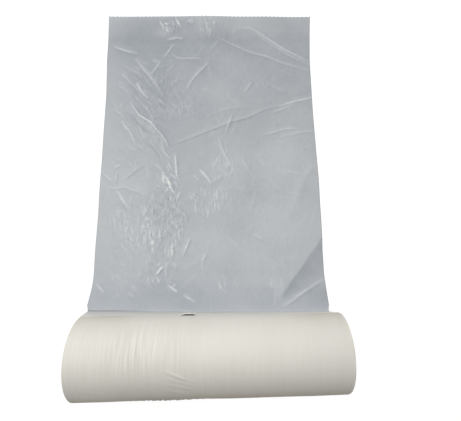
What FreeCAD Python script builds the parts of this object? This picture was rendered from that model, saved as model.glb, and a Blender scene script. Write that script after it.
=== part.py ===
import FreeCAD, Part
import math
import os
import random

import Sketcher
from FreeCAD import Placement, Rotation, Vector

# Roll of thin film bin bags lying on its side, with the first bag drawn off.
# X runs along the roll, Y from the roll towards the mouth of the drawn bag, and Z up.
# The origin is on the floor, under the middle of the roll.

# Driving dimensions, in millimetres and degrees: name, value, what it is.
SIZES = (
    ("film_width", 300.0, "width of a flat bag, and so the length of the roll"),
    ("roll_radius", 44.0, "wound film, under the last layer"),
    ("bore_radius", 12.5, "winding hole through the roll"),
    ("film_gauge", 0.5, "both walls of a bag and the step of the last layer"),
    ("flat_depth", 0.6, "how far the soft roll settles under its own weight"),
    ("turn_pitch", 3.2, "from one raised turn to the next on the roll's ends"),
    ("turn_gap", 0.9, "width of the spiral gap between raised turns"),
    ("turn_depth", 0.7, "depth of the spiral gap"),
    ("turn_margin", 2.4, "plain film at the winding hole and at the rim"),
    ("lift_angle", 7.0, "where the film leaves the roll, above its axis"),
    ("bag_length", 460.0, "one bag, from tear line to tear line, along the film"),
    ("skirt_length", 29.5, "from the tear line to the seal, hanging behind the roll"),
    ("kink_radius", 3.0, "bend of the film at the seal"),
    ("slope_angle", 30.0, "film below the seal, from the floor"),
    ("sweep_radius", 60.0, "long bend down on to the floor"),
    ("seal_width", 2.2, "welded band across the bag"),
    ("seal_proud", 0.2, "how far the weld stands out of the film"),
    ("crease_cell", 25.0, "usual distance between creases in the lying film"),
    ("crease_height", 2.4, "usual height of a crease"),
    ("billow_height", 2.2, "broad waves of the lying film"),
    ("billow_length", 165.0, "from one broad wave to the next"),
    ("tear_pitch", 6.0, "from one tie of the tear line to the next"),
    ("tear_cut", 4.6, "length of one cut of the tear line"),
    ("tear_depth", 0.7, "how far a cut reaches into the bag"),
    ("slot_width", 16.4, "wide slot in the tear line"),
    ("slot_depth", 3.0, "how far the slot reaches into the bag"),
    ("slot_offset", -27.0, "middle of the slot, from the middle of the roll"),
)
# Share of a cell by which a crease's corner may leave its place, and the draw used.
CORNER_SHIFT = 0.3
CREASE_DRAW = 7
# Share of a broad wave's height that is left at the film's left side.
WAVE_LEFT = 0.2
# Cutters reach this far past the film on either side.
CUTTER_REACH = 2.0
# A sketch on this placement has its own x along Y and its own y along Z.
SIDE_VIEW = Placement(Vector(0, 0, 0), Rotation(Vector(1, 1, 1), 120))
UP = Vector(0, 0, 1)


def add_sizes(doc):
    """The table of driving dimensions."""
    sheet = doc.addObject("Spreadsheet::Sheet", "Sizes")
    for row, (name, value, note) in enumerate(SIZES, start=1):
        sheet.set(f"A{row}", name)
        sheet.set(f"B{row}", str(value))
        sheet.set(f"C{row}", note)
        sheet.setAlias(f"B{row}", name)
    doc.recompute()
    return sheet


def read_sizes(sheet):
    """The table's values as plain numbers, by name."""
    return {name: float(sheet.get(name)) for name, _, _ in SIZES}


def origin_plane(body, role):
    return next(f for f in body.Origin.OriginFeatures if f.Role == role)


def sketch_on(body, role, name):
    """A sketch on one of the body's own planes."""
    sketch = body.newObject("Sketcher::SketchObject", name)
    sketch.AttachmentSupport = (origin_plane(body, role), [""])
    sketch.MapMode = "FlatFace"
    return sketch


def bind(sketch, constraint, name, formula):
    """A named dimension of the sketch that follows the table."""
    index = sketch.addConstraint(constraint)
    sketch.renameConstraint(index, name)
    sketch.setExpression(f"Constraints.{name}", formula)


def half_turn(centre, radius, below):
    """Half a turn of film about a point on the sketch's x axis."""
    start = math.pi if below else 0.0
    circle = Part.Circle(Vector(centre, 0, 0), UP, radius)
    return Part.ArcOfCircle(circle, start, start + math.pi)


def wound_section(body, size):
    """Outline of the roll: a one-turn spiral of two half turns, which ends in the step
    where the last layer leaves, with the winding hole inside."""
    radius, gauge = size["roll_radius"], size["film_gauge"]
    sketch = sketch_on(body, "YZ_Plane", "WoundSection")
    sketch.setExpression(".AttachmentOffset.Rotation.Angle", "Sizes.lift_angle")
    outer, middle = radius + gauge, radius + gauge / 2
    upper = sketch.addGeometry(half_turn(gauge / 4, radius + 0.75 * gauge, False))
    lower = sketch.addGeometry(half_turn(-gauge / 4, radius + gauge / 4, True))
    step = sketch.addGeometry(Part.LineSegment(Vector(radius, 0, 0), Vector(outer, 0, 0)))
    bore = sketch.addGeometry(Part.Circle(Vector(0, 0, 0), UP, size["bore_radius"]))
    for geometry, point in ((upper, 3), (lower, 3), (upper, 1), (upper, 2), (lower, 2)):
        sketch.addConstraint(Sketcher.Constraint("PointOnObject", geometry, point, -1))
    for first, a, second, b in ((upper, 2, lower, 1), (lower, 2, step, 1), (step, 2, upper, 1)):
        sketch.addConstraint(Sketcher.Constraint("Coincident", first, a, second, b))
    sketch.addConstraint(Sketcher.Constraint("Coincident", bore, 3, -1, 1))
    bind(sketch, Sketcher.Constraint("DistanceX", -1, 1, upper, 1, outer),
         "outer", "Sizes.roll_radius + Sizes.film_gauge")
    bind(sketch, Sketcher.Constraint("DistanceX", upper, 2, -1, 1, middle),
         "middle", "Sizes.roll_radius + Sizes.film_gauge / 2")
    bind(sketch, Sketcher.Constraint("DistanceX", -1, 1, lower, 2, radius),
         "inner", "Sizes.roll_radius")
    bind(sketch, Sketcher.Constraint("Radius", bore, size["bore_radius"]),
         "bore", "Sizes.bore_radius")
    return sketch


def turn_section(body, size):
    """The spiral gap between raised turns on one end of the roll. It runs inwards the way
    that the film is wound, in half turns about two centres half a pitch apart."""
    pitch, gap, margin = size["turn_pitch"], size["turn_gap"], size["turn_margin"]
    rim = size["roll_radius"] - margin
    turns = int((rim - gap - size["bore_radius"] - margin) / pitch)
    sketch = sketch_on(body, "YZ_Plane", "TurnSection")
    sketch.setExpression(".AttachmentOffset.Base.z", "Sizes.film_width / 2")
    sketch.setExpression(".AttachmentOffset.Rotation.Angle", "Sizes.lift_angle")
    for edge in (rim, rim - gap):
        for turn in range(turns):
            radius = edge - turn * pitch
            sketch.addGeometry(half_turn(0.0, radius, False))
            sketch.addGeometry(half_turn(-pitch / 2, radius - pitch / 2, True))
    for end in (rim, rim - turns * pitch):
        sketch.addGeometry(Part.LineSegment(Vector(end - gap, 0, 0), Vector(end, 0, 0)))
    return sketch


def floor_section(body, size):
    """A rectangle under the roll, at the height of the floor."""
    sketch = sketch_on(body, "XY_Plane", "FloorSection")
    sketch.setExpression(".AttachmentOffset.Base.z", "Sizes.flat_depth - Sizes.roll_radius")
    half_x, half_y = size["film_width"] / 2 + CUTTER_REACH, size["roll_radius"]
    corners = [Vector(x, y, 0) for x, y in
               ((-half_x, -half_y), (half_x, -half_y), (half_x, half_y), (-half_x, half_y))]
    for a, b in zip(corners, corners[1:] + corners[:1]):
        sketch.addGeometry(Part.LineSegment(a, b))
    return sketch


def bag_roll(doc, size):
    """The wound bags, as one solid with its turns raised on both ends."""
    body = doc.addObject("PartDesign::Body", "BagRoll")
    body.Label = "bag_roll"
    wound = body.newObject("PartDesign::Pad", "Wound")
    wound.Profile = wound_section(body, size)
    wound.SideType = "Symmetric"
    wound.setExpression("Length", "Sizes.film_width")
    doc.recompute()
    flat = body.newObject("PartDesign::Pocket", "RestingFlat")
    flat.Profile = floor_section(body, size)
    flat.Type = "ThroughAll"
    doc.recompute()
    turns = body.newObject("PartDesign::Pocket", "RightTurns")
    turns.Profile = turn_section(body, size)
    turns.setExpression("Length", "Sizes.turn_depth")
    doc.recompute()
    mirrored = body.newObject("PartDesign::Mirrored", "LeftTurns")
    mirrored.Originals = [turns]
    mirrored.MirrorPlane = (origin_plane(body, "YZ_Plane"), [""])
    body.Tip = mirrored
    body.setExpression(".Placement.Base.z", "Sizes.roll_radius - Sizes.flat_depth")
    doc.recompute()
    volumes = [f.Shape.Volume for f in (wound, flat, turns, mirrored)]
    if volumes != sorted(volumes, reverse=True) or len(set(volumes)) < len(volumes):
        raise ValueError(f"a cut in the roll removed nothing: {volumes}")
    return body


def fall_lengths(size):
    """The film's way from the tear line to the floor: where it starts, the length of the
    slope between its two bends, how far out it reaches and how long it is."""
    lift, slope = math.radians(size["lift_angle"]), math.radians(size["slope_angle"])
    skirt, kink, sweep = size["skirt_length"], size["kink_radius"], size["sweep_radius"]
    axis = size["roll_radius"] - size["flat_depth"]
    start = Vector(0, size["roll_radius"] * math.cos(lift),
                   axis + size["roll_radius"] * math.sin(lift))
    steep = math.pi / 2 - lift
    drop = (skirt * math.sin(steep) + kink * (math.cos(slope) - math.cos(steep))
            + sweep * (1 - math.cos(slope)))
    straight = (start.z - drop) / math.sin(slope)
    reach = (start.y + skirt * math.cos(steep) + kink * (math.sin(steep) - math.sin(slope))
             + straight * math.cos(slope) + sweep * math.sin(slope))
    length = skirt + kink * (steep - slope) + straight + sweep * slope
    return start, steep, slope, straight, reach, length


def fall_profile(doc, size):
    """The side of the film that faces the roll and the floor, from the tear line down."""
    start, steep, slope, straight, _, _ = fall_lengths(size)
    kink, sweep = size["kink_radius"], size["sweep_radius"]
    sketch = doc.addObject("Sketcher::SketchObject", "FallProfile")
    sketch.Placement = SIDE_VIEW

    def ahead(point, angle, distance):
        return point + Vector(math.cos(angle), -math.sin(angle), 0) * distance

    def above(point, angle, distance):
        return point + Vector(math.sin(angle), math.cos(angle), 0) * distance

    tear = Vector(start.y, start.z, 0)
    bend_start = ahead(tear, steep, size["skirt_length"])
    bend_middle = above(bend_start, steep, kink)
    bend_end = above(bend_middle, slope, -kink)
    sweep_start = ahead(bend_end, slope, straight)
    sweep_middle = above(sweep_start, slope, sweep)
    turn = 1.5 * math.pi
    skirt_line = sketch.addGeometry(Part.LineSegment(tear, bend_start))
    bend = sketch.addGeometry(Part.ArcOfCircle(
        Part.Circle(bend_middle, UP, kink), turn - steep, turn - slope))
    slope_line = sketch.addGeometry(Part.LineSegment(bend_end, sweep_start))
    landing = sketch.addGeometry(Part.ArcOfCircle(
        Part.Circle(sweep_middle, UP, sweep), turn - slope, turn))
    for first, second in ((skirt_line, bend), (bend, slope_line), (slope_line, landing)):
        sketch.addConstraint(Sketcher.Constraint("Tangent", first, 2, second, 1))
    sketch.addConstraint(Sketcher.Constraint("PointOnObject", landing, 2, -1))
    sketch.addConstraint(Sketcher.Constraint("Vertical", landing, 3, landing, 2))
    bind(sketch, Sketcher.Constraint("DistanceX", -1, 1, skirt_line, 1, tear.x),
         "tear_out", "Sizes.roll_radius * cos(Sizes.lift_angle * 1 deg)")
    bind(sketch, Sketcher.Constraint("DistanceY", -1, 1, skirt_line, 1, tear.y),
         "tear_up", "Sizes.roll_radius * (1 + sin(Sizes.lift_angle * 1 deg)) - Sizes.flat_depth")
    bind(sketch, Sketcher.Constraint("Distance", skirt_line, size["skirt_length"]),
         "skirt", "Sizes.skirt_length")
    bind(sketch, Sketcher.Constraint("Angle", skirt_line, -steep),
         "hang", "(Sizes.lift_angle - 90) * 1 deg")
    bind(sketch, Sketcher.Constraint("Angle", slope_line, -slope),
         "slope", "-Sizes.slope_angle * 1 deg")
    bind(sketch, Sketcher.Constraint("Radius", bend, kink), "kink", "Sizes.kink_radius")
    bind(sketch, Sketcher.Constraint("Radius", landing, sweep), "sweep", "Sizes.sweep_radius")
    return sketch


def falling_film(doc, size):
    """The film from the tear line to the floor: its profile drawn out to the film's width,
    then thickened away from the roll."""
    skin = doc.addObject("Part::Extrusion", "FallSkin")
    skin.Base = fall_profile(doc, size)
    skin.DirMode = "Normal"
    skin.Solid = False
    skin.Symmetric = True
    skin.setExpression("LengthFwd", "Sizes.film_width")
    doc.recompute()
    film = doc.addObject("Part::Offset", "FallingFilm")
    film.Source = skin
    film.Mode = "Skin"
    film.Join = "Intersection"
    film.Fill = True
    film.setExpression("Value", "Sizes.film_gauge")
    doc.recompute()
    return film


def crease_corners(size):
    """Corners of the creases in the film that lies on the floor, as rows across it. The first
    row is straight and down on the floor, where the falling film lands."""
    draw = random.Random(CREASE_DRAW)
    width = size["film_width"]
    _, _, _, _, landing, fallen = fall_lengths(size)
    length = size["bag_length"] - fallen
    across = max(3, round(width / size["crease_cell"]))
    along = max(3, round(length / size["crease_cell"]))
    rows = []
    for j in range(along + 1):
        row = []
        for i in range(across + 1):
            inside_x, inside_y = 0 < i < across, 0 < j < along
            x = width * (i / across - 0.5)
            y = length * j / along
            x += inside_x * draw.uniform(-1, 1) * CORNER_SHIFT * width / across
            y += inside_y * draw.uniform(-1, 1) * CORNER_SHIFT * length / along
            wave = 0.5 - 0.5 * math.cos(2 * math.pi * y / size["billow_length"])
            lean = WAVE_LEFT + (1 - WAVE_LEFT) * (1 + math.sin(math.pi * x / width)) / 2
            height = size["crease_height"] * draw.random() + size["billow_height"] * wave * lean
            row.append(Vector(x, landing + y, height if j else 0.0))
        rows.append(row)
    return rows


def facet(*corners):
    """A flat face with these corners."""
    return Part.Face(Part.makePolygon([*corners, corners[0]]))


def lying_film(doc, size):
    """The film on the floor: flat facets that meet at creases, as in crumpled film."""
    under = crease_corners(size)
    lift = Vector(0, 0, size["film_gauge"])
    over = [[corner + lift for corner in row] for row in under]
    faces = []
    for side in (under, over):
        for j in range(len(side) - 1):
            for i in range(len(side[j]) - 1):
                a, b, c, d = side[j][i], side[j][i + 1], side[j + 1][i + 1], side[j + 1][i]
                if (i + j) % 2:
                    faces += [facet(a, b, c), facet(a, c, d)]
                else:
                    faces += [facet(a, b, d), facet(b, c, d)]
    faces.append(facet(*under[0], *reversed(over[0])))
    faces.append(facet(*under[-1], *reversed(over[-1])))
    for end in (0, -1):
        faces.append(facet(*[row[end] for row in under], *[row[end] for row in reversed(over)]))
    shell = Part.makeShell(faces)
    shell.sewShape()
    solid = Part.makeSolid(shell)
    if solid.Volume < 0:
        solid.reverse()
    film = doc.addObject("Part::Feature", "LyingFilm")
    film.Shape = solid
    return film


def weld(doc, size):
    """The bag's bottom seal: a band across the film, just below its bend."""
    start, steep, slope, _, _, _ = fall_lengths(size)
    kink = size["kink_radius"]
    down = Vector(0, math.cos(steep), -math.sin(steep))
    bend_end = (start + down * size["skirt_length"]
                + Vector(0, math.sin(steep) - math.sin(slope), math.cos(steep) - math.cos(slope)) * kink)
    band = doc.addObject("Part::Box", "Seal")
    band.setExpression("Length", "Sizes.film_width")
    band.setExpression("Width", "Sizes.seal_width")
    band.setExpression("Height", "Sizes.film_gauge + Sizes.seal_proud")
    band.Placement = Placement(Vector(-size["film_width"] / 2, bend_end.y, bend_end.z),
                               Rotation(Vector(1, 0, 0), -size["slope_angle"]))
    return band


def tear_places(size):
    """Middles of the cuts along a tear line, evenly spaced about the middle of the film."""
    pitch = size["tear_pitch"]
    count = int((size["film_width"] - 2 * pitch) / pitch)
    return [(k - (count - 1) / 2) * pitch for k in range(count)]


def tear_cutters(doc, size):
    """Everything that is cut out of the bag's two ends: the short cuts between the ties of
    each tear line, and the wide slot in the line at the roll."""
    start = fall_lengths(size)[0]
    far = crease_corners(size)[-1][0].y
    deep = size["film_gauge"] + 2 * CUTTER_REACH
    tall = size["crease_height"] + size["billow_height"] + deep
    at_roll = Placement(start, Rotation(Vector(1, 0, 0), size["lift_angle"]))

    def notch(middle, width, depth):
        box = Part.makeBox(width, deep, depth + CUTTER_REACH,
                           Vector(middle - width / 2, -CUTTER_REACH, -depth))
        box.Placement = at_roll
        return box

    slot_half = (size["slot_width"] + size["tear_pitch"]) / 2
    cutters = [notch(size["slot_offset"], size["slot_width"], size["slot_depth"])]
    for middle in tear_places(size):
        if abs(middle - size["slot_offset"]) > slot_half:
            cutters.append(notch(middle, size["tear_cut"], size["tear_depth"]))
        cutters.append(Part.makeBox(
            size["tear_cut"], size["tear_depth"] + CUTTER_REACH, tall,
            Vector(middle - size["tear_cut"] / 2, far - size["tear_depth"], -CUTTER_REACH)))
    cuts = doc.addObject("Part::Feature", "TearCuts")
    cuts.Shape = Part.makeCompound(cutters)
    return cuts


def drawn_bag(doc, size):
    """The bag that has been pulled off the roll and still hangs on its tear line."""
    film = doc.addObject("Part::MultiFuse", "Film")
    film.Shapes = [falling_film(doc, size), lying_film(doc, size), weld(doc, size)]
    film.Refine = False
    bag = doc.addObject("Part::Cut", "DrawnBag")
    bag.Base = film
    bag.Tool = tear_cutters(doc, size)
    bag.Refine = False
    bag.Label = "drawn_bag"
    doc.recompute()
    return bag


def check_and_write(doc, pieces):
    """Stops on a failed feature or a bad solid, and otherwise writes one file a piece."""
    for feature in doc.Objects:
        if {"Invalid", "Error"} & set(feature.State):
            raise ValueError(f"{feature.Label} failed: {feature.State}")
    os.makedirs("parts", exist_ok=True)
    for piece in pieces:
        shape = piece.Shape
        if shape.isNull() or not shape.isValid() or len(shape.Solids) != 1:
            raise ValueError(f"{piece.Label} isn't one valid solid")
        shape.exportStep(os.path.join("parts", f"{piece.Label}.step"))
        box = shape.BoundBox
        print(f"{piece.Label}: {shape.Volume:.0f} mm3, {len(shape.Faces)} faces, "
              f"x {box.XMin:.1f} to {box.XMax:.1f}, y {box.YMin:.1f} to {box.YMax:.1f}, "
              f"z {box.ZMin:.2f} to {box.ZMax:.1f}")


def main():
    doc = FreeCAD.newDocument("BinBagRoll")
    size = read_sizes(add_sizes(doc))
    pieces = [bag_roll(doc, size), drawn_bag(doc, size)]
    doc.recompute()
    check_and_write(doc, pieces)


main()
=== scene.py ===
import math
import random

import bpy
import numpy as np
from mathutils import Matrix, Vector


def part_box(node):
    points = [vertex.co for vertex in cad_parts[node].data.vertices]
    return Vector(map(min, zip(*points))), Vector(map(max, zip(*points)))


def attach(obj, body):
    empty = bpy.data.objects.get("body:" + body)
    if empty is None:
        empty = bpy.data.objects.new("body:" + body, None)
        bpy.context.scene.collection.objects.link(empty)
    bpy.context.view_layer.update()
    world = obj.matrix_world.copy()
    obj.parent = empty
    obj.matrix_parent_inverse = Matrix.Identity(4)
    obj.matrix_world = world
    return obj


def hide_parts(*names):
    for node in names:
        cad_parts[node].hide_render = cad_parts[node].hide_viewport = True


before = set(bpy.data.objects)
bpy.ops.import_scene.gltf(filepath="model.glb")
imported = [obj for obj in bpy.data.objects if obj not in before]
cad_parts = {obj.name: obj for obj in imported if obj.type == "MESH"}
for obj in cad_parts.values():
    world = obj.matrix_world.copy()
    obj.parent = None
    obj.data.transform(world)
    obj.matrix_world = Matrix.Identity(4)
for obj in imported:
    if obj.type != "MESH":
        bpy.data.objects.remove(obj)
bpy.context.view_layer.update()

# A roll of thin film bags on its side, with the first bag drawn off the back of the roll.
# Metres throughout. X along the roll, Y towards the mouth of the drawn bag, Z up.
mm = 0.001
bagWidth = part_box("bag_roll")[1][0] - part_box("bag_roll")[0][0]
halfWidth = bagWidth / 2
woundRadius = 44 * mm  # the roll under its last layer
settled = 0.6 * mm  # how far the soft roll has sunk on to its flat
liftAngle = math.radians(7)  # where the film leaves the roll, above its axis
gauge = 0.3 * mm  # both walls of a bag
print("stage: frame loaded")


def smoothStep(low, high, value):
    t = np.clip((value - low) / (high - low), 0.0, 1.0)
    return t * t * (3 - 2 * t)


def bell(offset, reach, aside=0.0, asideReach=1.0):
    # 1 in the middle, falling off smoothly over its reach, one way or both ways
    return np.exp(-(offset / reach) ** 2 - (aside / asideReach) ** 2)


def patch(spot, x, y):
    # 1 in the middle of a place, falling off over its reach along x and y
    midX, midY, reachX, reachY = spot
    return bell(x - midX, reachX, y - midY, reachY)


def lookUp(table, value):
    # reads a table of places and values at any place
    return np.interp(value, *np.array(table).T)


def waveNoise(x, y, seed, waves=14):
    # smooth irregular waves between about -1 and 1, one to a unit of x or y
    draw = random.Random(seed)
    total = 0.0
    for _ in range(waves):
        turn = draw.uniform(0, 2 * math.pi)
        rate = 2 * math.pi * draw.uniform(0.45, 1.35)
        shift = draw.uniform(0, 2 * math.pi)
        total = total + np.cos(rate * (x * math.cos(turn) + y * math.sin(turn)) + shift)
    return total / math.sqrt(waves) * 1.1


def waves(table, x, y):
    # waves of several sizes at once: length along x and y, height and seed of each
    return sum(tall * waveNoise(x / wide, y / deep, seed) for wide, deep, tall, seed in table)


def gridFaces(ids):
    # quads over a grid of vertex numbers, facing the side that rows cross columns point to
    a, b = ids[:-1, :-1], ids[:-1, 1:]
    c, d = ids[1:, 1:], ids[1:, :-1]
    return np.stack([a, b, c, d], axis=-1).reshape(-1, 4)


def addObject(name, data):
    piece = bpy.data.objects.new(name, data)
    bpy.context.scene.collection.objects.link(piece)
    return piece


def meshPiece(name, points, faces, material):
    mesh = bpy.data.meshes.new(name)
    mesh.from_pydata(np.asarray(points).tolist(), [], faces)
    mesh.update()
    mesh.shade_smooth()
    mesh.materials.append(material)
    return addObject(name, mesh)


def pointValues(mesh, name, values):
    layer = mesh.attributes.new(name, "FLOAT", "POINT")
    layer.data.foreach_set("value", np.asarray(values, dtype=np.float32).ravel())


def place(tree, kind, values=None):
    # every node comes from here, a shader node if its kind doesn't say otherwise, with its
    # properties and sockets set
    node = tree.nodes.new(kind if "Node" in kind else "ShaderNode" + kind)
    for name, value in (values or {}).items():
        if isinstance(name, str) and name not in node.inputs:
            setattr(node, name, value)
            continue
        socket = node.inputs[name]
        if isinstance(value, Flow):
            tree.links.new(value.socket, socket)
        elif isinstance(value, bpy.types.NodeSocket):
            tree.links.new(value, socket)
        else:
            socket.default_value = value
    return node


class Flow:
    # a number that varies over the surface: Python's operators add the Math nodes
    def __init__(self, tree, socket):
        self.tree = tree
        self.socket = socket

    def math(self, operation, *others):
        values = dict(enumerate((self, *others)))
        node = place(self.tree, "Math", {"operation": operation, **values})
        return Flow(self.tree, node.outputs[0])

    def __add__(self, other):
        return self.math("ADD", other)

    __radd__ = __add__

    def __sub__(self, other):
        return self.math("SUBTRACT", other)

    def __rsub__(self, other):
        node = place(self.tree, "Math", {"operation": "SUBTRACT", 0: other, 1: self})
        return Flow(self.tree, node.outputs[0])

    def __mul__(self, other):
        return self.math("MULTIPLY", other)

    __rmul__ = __mul__

    def __pow__(self, other):
        return self.math("POWER", other)

    def between(self, low, high):
        # 0 below low, 1 above high
        node = place(self.tree, "MapRange", {
            "interpolation_type": "SMOOTHSTEP", "Value": self, "From Min": low, "From Max": high})
        return Flow(self.tree, node.outputs[0])


def newMaterial(name):
    material = bpy.data.materials.new(name)
    material.use_nodes = True
    material.node_tree.nodes.clear()
    return material, material.node_tree


def blend(tree, share, first, second):
    node = place(tree, "Mix", {"data_type": "RGBA", 0: share, 6: first, 7: second})
    return node.outputs[2]


def stretched(tree, coordinates, scale):
    node = place(tree, "Mapping", {"Vector": coordinates, "Scale": scale})
    return node.outputs[0]


def noise(tree, coordinates, scale, detail, roughness):
    node = place(tree, "TexNoise", {
        "Vector": coordinates, "Scale": scale, "Detail": detail, "Roughness": roughness})
    return Flow(tree, node.outputs[0])


def attribute(tree, name):
    node = place(tree, "Attribute", {"attribute_name": name})
    return Flow(tree, node.outputs["Fac"])


def linear(red, green, blue):
    # a colour as it is seen, 0 to 255, in the renderer's own linear values
    def one(v):
        v /= 255
        return v / 12.92 if v <= 0.04045 else ((v + 0.055) / 1.055) ** 2.4
    return (one(red), one(green), one(blue), 1.0)


def surface(tree, values):
    shader = place(tree, "BsdfPrincipled", values)
    place(tree, "OutputMaterial", {0: shader.outputs[0]})


looseLook = {
    # the film runs from its dark to its light colour by the tone, which is mostly painted light
    # and shade
    "light": linear(186, 189, 192),
    "dark": linear(150, 156, 163),
    # over the roll the film shows the roll's cream through it; down the hanging skirt and over its
    # bend it is also painted lighter, as painted light
    "overRoll": linear(222, 219, 211),
    "hanging": linear(216, 218, 221),
    # the creases' pale colour is partly their whitening and partly painted highlight; the glint
    # colour is a painted glint
    "crease": linear(214, 216, 219),
    "glint": linear(252, 246, 224),
    # painted shadow in the groove above the seal
    "weld": linear(74, 70, 64),
    "specular": 0.3,
    "crinkle": 0.3 * mm,
    # crumpled cells: size, squeeze along the film, turn in degrees, how far their sides wander
    "small": (3.8 * mm, 0.32, 4, 4 * mm),
    "middle": (13 * mm, 0.55, -38, 9 * mm),
    "large": (34 * mm, 0.7, 62, 18 * mm),
    # noise: scale, detail and roughness
    "cloud": (13.0, 3.0, 0.55),
    "mottle": (70.0, 3.0, 0.6),
    "spots": (330.0, 2.0, 0.6),
    "ripple": (330.0, 3.0, 0.6),
}


def crackle(tree, spot, cell, squeeze, turn, wander):
    # straight-sided cells, as creases make in crumpled film: 0 on a crease, 1 clear of it
    stray = place(tree, "TexNoise", {"Vector": spot, "Scale": 0.35 / cell})
    push = place(tree, "VectorMath", {
        "operation": "MULTIPLY_ADD", 0: stray.outputs["Color"], 1: (wander, wander, 0.0), 2: spot})
    turned = place(tree, "Mapping", {
        "Vector": push.outputs[0], "Rotation": (0, 0, math.radians(turn)),
        "Scale": (1.0, squeeze, 0.0)})
    cells = place(tree, "TexVoronoi", {
        "feature": "DISTANCE_TO_EDGE", "voronoi_dimensions": "2D",
        "Vector": turned.outputs[0], "Scale": 1 / cell, "Randomness": 1.0})
    return Flow(tree, cells.outputs["Distance"])


def looseFilm():
    look = looseLook
    material, tree = newMaterial("looseFilm")
    spot = place(tree, "TexCoord").outputs["Object"]
    cloud = noise(tree, spot, *look["cloud"]).between(0.34, 0.68)
    busy, crease = attribute(tree, "busy"), attribute(tree, "crease")
    mottle = noise(tree, spot, *look["mottle"])
    small = crackle(tree, spot, *look["small"])
    shade = (cloud - 0.5) * 0.14 + (mottle - 0.5) * 0.34
    # painted shade inside the cells where crinkles gather, between their highlights, and a little
    # lighter over those zones
    shade = shade - small.between(0.16, 0.4) * busy * 0.3 + busy * 0.08
    # the tone brings in painted light and shade; cloud and mottle add the film's own uneven tone
    tint = blend(tree, attribute(tree, "tone") + shade, look["dark"], look["light"])
    # the roll's cream through the film near the tear line, and painted light on the hanging skirt
    # and its bend
    near = attribute(tree, "near")
    tint = blend(tree, near, tint, blend(tree, near ** 2, look["hanging"], look["overRoll"]))
    middle = crackle(tree, spot, *look["middle"])
    large = crackle(tree, spot, *look["large"])
    spots = noise(tree, spot, *look["spots"]).between(0.46, 0.62)
    # painted highlights along the edges of the small cells where crinkles gather and along the
    # middle cells' creases; the creases add their whitening and painted shine
    gleam = (1 - small.between(0.0, 0.09)) * busy * spots
    lines = (1 - middle.between(0.0, 0.05)) * spots * 0.10
    pale = crease * (1.25 + 0.5 * spots) + gleam * 0.5 + lines
    tint = blend(tree, pale.math("MINIMUM", 1.0), tint, look["crease"])
    # painted glints on the brightest creases
    tint = blend(tree, crease.between(0.35, 0.95) * spots, tint, look["glint"])
    # painted shadow along the groove above the seal
    tint = blend(tree, attribute(tree, "weld"), tint, look["weld"])
    ripple = noise(tree, stretched(tree, spot, (1.0, 0.35, 1.0)), *look["ripple"])
    height = (small.between(0.0, 0.25) * busy * 0.7 + middle.between(0.0, 0.16) * 0.18
              + large.between(0.0, 0.10) * 0.14 + ripple * (0.12 + 0.3 * busy))
    bump = place(tree, "Bump", {
        "Strength": 1.0, "Distance": look["crinkle"], "Height": height})
    surface(tree, {
        "Base Color": tint, "Roughness": 0.44 + 0.12 * cloud,
        "Specular IOR Level": look["specular"], "Normal": bump.outputs[0]})
    return material


woundLook = {
    "body": linear(222, 219, 211),
    "streak": linear(210, 206, 196),
    # painted shade under the roll, along its low front and low on the back near its ends
    "low": linear(188, 178, 160),
    "gleam": linear(233, 231, 224),  # painted highlight between the streaks, where they gather in the roll's lit band
    "farSide": linear(188, 187, 182),  # painted shade on the end away from the window
    "foot": linear(178, 168, 151),  # painted shade along its front, down near the floor
    "slotShadow": linear(62, 58, 53),  # painted shadow inside the slot of the tear line
    "roughness": 0.5,
    "grain": 0.08 * mm,
    # noise: stretch round the roll, scale, detail and roughness
    "streaks": (0.05, 400.0, 3.0, 0.6),
    "bands": (0.25, 24.0, 2.0, 0.5),
    "grains": (0.16, 700.0, 3.0, 0.6),
    # where the painted shades begin and end: height over the floor, and place from the roll's
    # middle
    "lowRise": (0, 34 * mm),
    "frontRise": (56 * mm, 82 * mm),
    "footRise": (56 * mm, 79 * mm),
    "backRise": (50 * mm, 80 * mm),
    "frontPlace": (-40 * mm, -8 * mm),
    "backPlace": (8 * mm, 36 * mm),
    "farPlace": (40 * mm, 150 * mm),
    "endPlace": (78 * mm, 122 * mm),
}


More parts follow.
